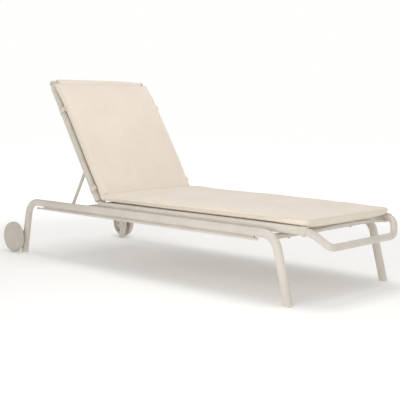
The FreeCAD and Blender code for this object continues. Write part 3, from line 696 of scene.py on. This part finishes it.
def winding(name, path, radius, bare):
    """Rope wound close round a tube: one ridged skin, with its ends closed down to the tube."""
    turns = round(path.length / ROPE_PITCH)
    per_turn, around = 6, 28
    rows = turns * per_turn
    vertices, rope = [], []

    def place(distance, turn, r):
        point, axis = path.at(distance)
        other = axis.cross(ACROSS).normalized()
        side = other.cross(axis)
        angle = 2 * math.pi * turn
        return point + side * (math.cos(angle) * r) + other * (math.sin(angle) * r)

    for i in range(rows + 1):
        for k in range(around):
            turn = k / around
            phase = (i / per_turn - turn) % 1.0
            ridge = math.sqrt(max(0.0, 1 - (2 * phase - 1) ** 2))
            share = min(1.0, min(i, rows - i) / per_turn * 1.5 + 0.2)
            r = radius - ROPE_R * WINDING_GROOVE * (1 - ridge) * share - 0.0006 * (1 - share)
            vertices.append(place(path.length * i / rows, turn, r))
            number = math.floor(i / per_turn - turn)
            tone = noise.noise((number * 0.37, 0.1, 2.2)) * 0.5 + 0.5
            rope.append((turn * 2 * math.pi * radius + number * 0.0013, phase * 0.5, tone))
    faces = grid_faces(rows + 1, around, closed_columns=True)
    first = len(vertices)
    for distance in (0.0, path.length):
        for k in range(around):
            vertices.append(place(distance, k / around, bare))
            rope.append((0.0, 0.25, 0.4))
    top = rows * around
    for k in range(around):
        n = (k + 1) % around
        faces.append((n, k, first + k, first + n))
        faces.append((top + k, top + n, first + around + n, first + around + k))
    piece = new_object(name, vertices, faces, ROPE)
    store(piece, "rope", rope)
    return piece


def rope_runs(name, first, last, count, sag, out, body, node):
    """Ropes that cross from one side tube to the other, side by side with gaps."""
    vertices, rope, faces = [], [], []
    steps, sides = 12, 8
    for i in range(count):
        centre = first + (last - first) * (i / (count - 1))
        slack = sag * RANDOM.uniform(0.6, 1.2)
        points = []
        for k in range(steps + 1):
            t = 2 * k / steps - 1
            points.append(centre + ACROSS * (TUBE_Y * t) - out * (slack * (1 - t * t)))
        more, more_rope = cord_mesh(points, ROPE_R, sides, tone=RANDOM.random())
        faces += tube_faces(steps + 1, sides, start=len(vertices))
        vertices += more
        rope += more_rope
    piece = new_object(name, vertices, faces, ROPE)
    store(piece, "rope", rope)
    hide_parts(node)
    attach(piece, body)
    return piece


SEAT_BEND = 0.070
TUBE_Y = 0.300


def end_centre(node):
    """The middle of a node's front end face."""
    mesh = frame["nodes"][node].data
    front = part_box(node)[1].x - 0.0001
    ring = [vertex.co for vertex in mesh.vertices if vertex.co.x > front]
    middle = Vector((0, 0, 0))
    for point in ring:
        middle += point
    return middle / len(ring)


def make_ropes():
    for side_name, side in (("left", 1), ("right", -1)):
        node = "seat_winding_" + side_name
        low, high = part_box(node)
        radius = max(abs(low.y), abs(high.y)) - TUBE_Y
        start = Vector((low.x, side * TUBE_Y, high.z - radius))
        sleeve = winding("wound_rope_seat_" + side_name, BentAtEnd(start, end_centre(node), SEAT_BEND),
                         radius, radius - BARE_SEAT)
        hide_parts(node)
        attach(sleeve, "chassis")
        node = "back_winding_" + side_name
        low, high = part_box(node)
        radius = (high.y - low.y) / 2
        s0, s1 = back_reach(node)
        path = Straight(on_back(s0, side * TUBE_Y, 0), on_back(s1, side * TUBE_Y, 0))
        sleeve = winding("wound_rope_back_" + side_name, path, radius, radius - BARE_BACK)
        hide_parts(node)
        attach(sleeve, "backrest")
    z = DECK_TOP - ROPE_R
    count = round((DECK_HIGH.x - DECK_LOW.x) / CROSS_EVERY)
    rope_runs("crossing_rope_seat", Vector((DECK_LOW.x, 0, z)), Vector((DECK_HIGH.x, 0, z)), count,
              CROSS_SAG, UP, "chassis", "seat_rope_deck")
    s0, s1 = back_reach("back_rope_deck")
    low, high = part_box("back_winding_left")
    t = (high.y - low.y) / 2 - ROPE_R
    count = round((s1 - s0) / CROSS_EVERY)
    rope_runs("crossing_rope_back", on_back(s0, 0, t), on_back(s1, 0, t), count, CROSS_SAG, OFF_BACK,
              "backrest", "back_rope_deck")


make_ropes()

# ---- hood over the top of the backrest ----
HOOD_SKIN = 0.0012
HOOD_HEM = 0.0170
HOOD_GATHER = 0.014
HOOD_FAR_GATHER = 0.040
HOOD_PAST = 0.036
HOOD_DROOP = 0.0095
HOOD_LIP = 0.0118
HOOD_LIP_AT = 128


def hood_radius(angle, y, reach):
    """The sleeve's radius: close over the tube, drawn out in front to the pad's top seam."""
    lip = HOOD_LIP * math.exp(-((angle - math.radians(HOOD_LIP_AT)) / math.radians(30)) ** 2)
    ripple = 0.0008 * noise.noise((y * 9, angle * 1.3, 4.0))
    ripple += 0.0006 * noise.noise((y * 26, angle * 2.0, 9.0))
    return reach - 0.0002 + lip + ripple


def make_hood():
    """A loose sleeve of cloth round the top tube, joined to the pad along its top seam."""
    low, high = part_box("cushion_hood")
    s0, s1 = back_reach("cushion_hood")
    middle, reach = (s0 + s1) / 2, (s1 - s0) / 2 + 0.0012
    far = high.y + HOOD_PAST
    around, along = 40, 104
    vertices, cloth = [], []
    for i in range(along + 1):
        y = low.y + (far - low.y) * i / along
        droop = HOOD_DROOP * smooth_step(y, far - 0.17, far + 0.01)
        gather = 1 - (smooth_step(y - low.y, -0.001, HOOD_GATHER)
                      * smooth_step(far - y, -0.001, HOOD_FAR_GATHER))
        for k in range(around):
            angle = 2 * math.pi * k / around
            loose = hood_radius(angle, y, reach)
            r = loose + (HOOD_HEM - loose) * gather
            s = middle + math.cos(angle) * r - droop * (1 - gather) * max(0.0, math.cos(angle))
            skew = 0.003 * math.sin(angle + 0.6) * (1 if i in (0, along) else 0)
            vertices.append(on_back(s, y + skew, math.sin(angle) * r))
            cloth.append((y, angle * reach, 0.03))
    faces = grid_faces(along + 1, around, closed_columns=True)
    hood = new_object("cloth_hood", vertices, faces, PAD_CLOTH)
    store(hood, "cloth", cloth)
    thick = hood.modifiers.new("cloth", "SOLIDIFY")
    thick.thickness = HOOD_SKIN
    thick.offset = -1
    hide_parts("cushion_hood")
    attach(hood, "backrest")


make_hood()


# ---- straps ----
STRAP_WIDTH = 0.024
STRAP_SEAM = 0.0385
STRAP_SKIN = 0.0013
STRAP_CURL = 0.0006
STRAP_OFF_PAD = 0.0075
# how far the strap lies inside the wound tube's side, and how far out of the backrest, past the tube
STRAP_RUN = ((0.0, 0.007), (0.0003, 0.015), (0.0036, 0.024), (0.0135, 0.031))


def make_straps():
    """Cloth loops from the pad's seam round the wound side tubes of the backrest."""
    low_s, high_s = back_reach("cushion_straps")
    low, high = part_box("back_winding_left")
    radius = (high.y - low.y) / 2 + 0.0010
    for level, s in (("low", low_s + STRAP_WIDTH / 2), ("high", high_s - STRAP_WIDTH / 2)):
        for side_name, side in (("left", 1), ("right", -1)):
            turns = [math.radians(-200 + 10 * k) for k in range(21)]
            line = [(TUBE_Y + radius * math.cos(a), radius * math.sin(a)) for a in turns]
            line += [(TUBE_Y + radius - inside, t) for inside, t in STRAP_RUN]
            line += [(PAD_HALF + STRAP_OFF_PAD, STRAP_SEAM)]
            rows, columns = len(line), 5
            vertices, cloth = [], []
            for i, (y, t) in enumerate(line):
                for k in range(columns):
                    q = k / (columns - 1) - 0.5
                    curl = STRAP_CURL * (2 * q) ** 2
                    vertices.append(on_back(s + STRAP_WIDTH * q, side * (y + curl), t))
                    cloth.append((i * 0.0042, q * STRAP_WIDTH, 0.03))
            strap = new_object("strap_%s_%s" % (level, side_name), vertices, grid_faces(rows, columns),
                               STRAP_CLOTH)
            store(strap, "cloth", cloth)
            thick = strap.modifiers.new("cloth", "SOLIDIFY")
            thick.thickness = STRAP_SKIN
            thick.offset = 0
            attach(strap, "backrest")
            if (level, side_name) == ("low", "left"):
                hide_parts("cushion_straps")


make_straps()


# ---- floor, light and camera ----
WALL_LIGHT = 1.0
CEILING_LIGHT = 0.48
CEILING_HEIGHTS = (0.14, 0.55)
FLOOR_GLOW = (0.10, 0.46)
FLOOR_REACH = (1.3, 3.2)
FLOOR_HALF = 14.0
CAMERA_LENS = 74.2
CAMERA_AZIMUTH = 44.2
CAMERA_PITCH = 6.3
CAMERA_FROM_HINGE = Vector((3.170, -2.836, 0.435))
# name, place, aim, size and power of each lamp
LAMPS = (("key", (1.3, -1.6, 0.95), (0.8, 0, 0.2), 0.9, 7.5),
         ("overhead", (0.2, 0.1, 5.0), (0.2, 0, 0.3), 2.6, 80))


def make_stage():
    floor_paint = Nodes("floor")
    speck = floor_paint.noise(floor_paint.place(), 3.0)
    color = floor_paint.mix(speck, linear(253, 253, 252), linear(255, 255, 254))
    away = floor_paint.add("VectorMath", Vector=floor_paint.place())
    away.operation = "LENGTH"
    glow = floor_paint.add("MapRange", Value=away.outputs["Value"])
    glow.interpolation_type = "SMOOTHSTEP"
    glow.inputs["From Min"].default_value, glow.inputs["From Max"].default_value = FLOOR_REACH
    glow.inputs["To Min"].default_value, glow.inputs["To Max"].default_value = FLOOR_GLOW
    floor_paint.put(floor_paint.shader.inputs["Emission Strength"], glow.outputs["Result"])
    floor_paint.finish(color, 0.8, Emission_Color=(1, 1, 1, 1))
    half = FLOOR_HALF
    corners = [(-half, -half, 0), (half, -half, 0), (half, half, 0), (-half, half, 0)]
    floor = new_object("floor", corners, [(0, 1, 2, 3)], floor_paint.material, smooth=False)


def make_world():
    """White walls low down, where the camera looks, and a softer ceiling above them."""
    world = bpy.data.worlds.new("studio")
    bpy.context.scene.world = world
    world.use_nodes = True
    tree = world.node_tree
    where = tree.nodes.new("ShaderNodeTexCoord")
    split = tree.nodes.new("ShaderNodeSeparateXYZ")
    tree.links.new(where.outputs["Generated"], split.inputs[0])
    height = tree.nodes.new("ShaderNodeMapRange")
    height.interpolation_type = "SMOOTHSTEP"
    height.inputs["From Min"].default_value = CEILING_HEIGHTS[0]
    height.inputs["From Max"].default_value = CEILING_HEIGHTS[1]
    height.inputs["To Min"].default_value = WALL_LIGHT
    height.inputs["To Max"].default_value = CEILING_LIGHT
    tree.links.new(split.outputs["Z"], height.inputs["Value"])
    background = tree.nodes["Background"]
    background.inputs["Color"].default_value = (1.0, 0.996, 0.99, 1)
    tree.links.new(height.outputs["Result"], background.inputs["Strength"])


def make_lamp(name, place, aim, size, power):
    lamp = bpy.data.lights.new(name, "AREA")
    lamp.size = size
    lamp.energy = power
    lamp.color = (1.0, 0.985, 0.965)
    holder = bpy.data.objects.new(name, lamp)
    holder.location = place
    holder.rotation_euler = (Vector(aim) - Vector(place)).to_track_quat("-Z", "Y").to_euler()
    bpy.context.scene.collection.objects.link(holder)


def make_camera():
    """The camera stands off the right front corner, at the height of the backrest's middle."""
    camera = bpy.data.cameras.new("camera")
    camera.sensor_width = 36.0
    camera.lens = CAMERA_LENS
    holder = bpy.data.objects.new("camera", camera)
    azimuth, pitch = math.radians(CAMERA_AZIMUTH), math.radians(CAMERA_PITCH)
    holder.location = HINGE + CAMERA_FROM_HINGE
    ahead = Vector((-math.sin(azimuth) * math.cos(pitch), math.cos(azimuth) * math.cos(pitch),
                    -math.sin(pitch)))
    holder.rotation_euler = ahead.to_track_quat("-Z", "Y").to_euler()
    bpy.context.scene.collection.objects.link(holder)
    bpy.context.scene.camera = holder


make_stage()
make_world()
for lamp_values in LAMPS:
    make_lamp(*lamp_values)
make_camera()
bpy.context.scene.view_settings.view_transform = "Standard"
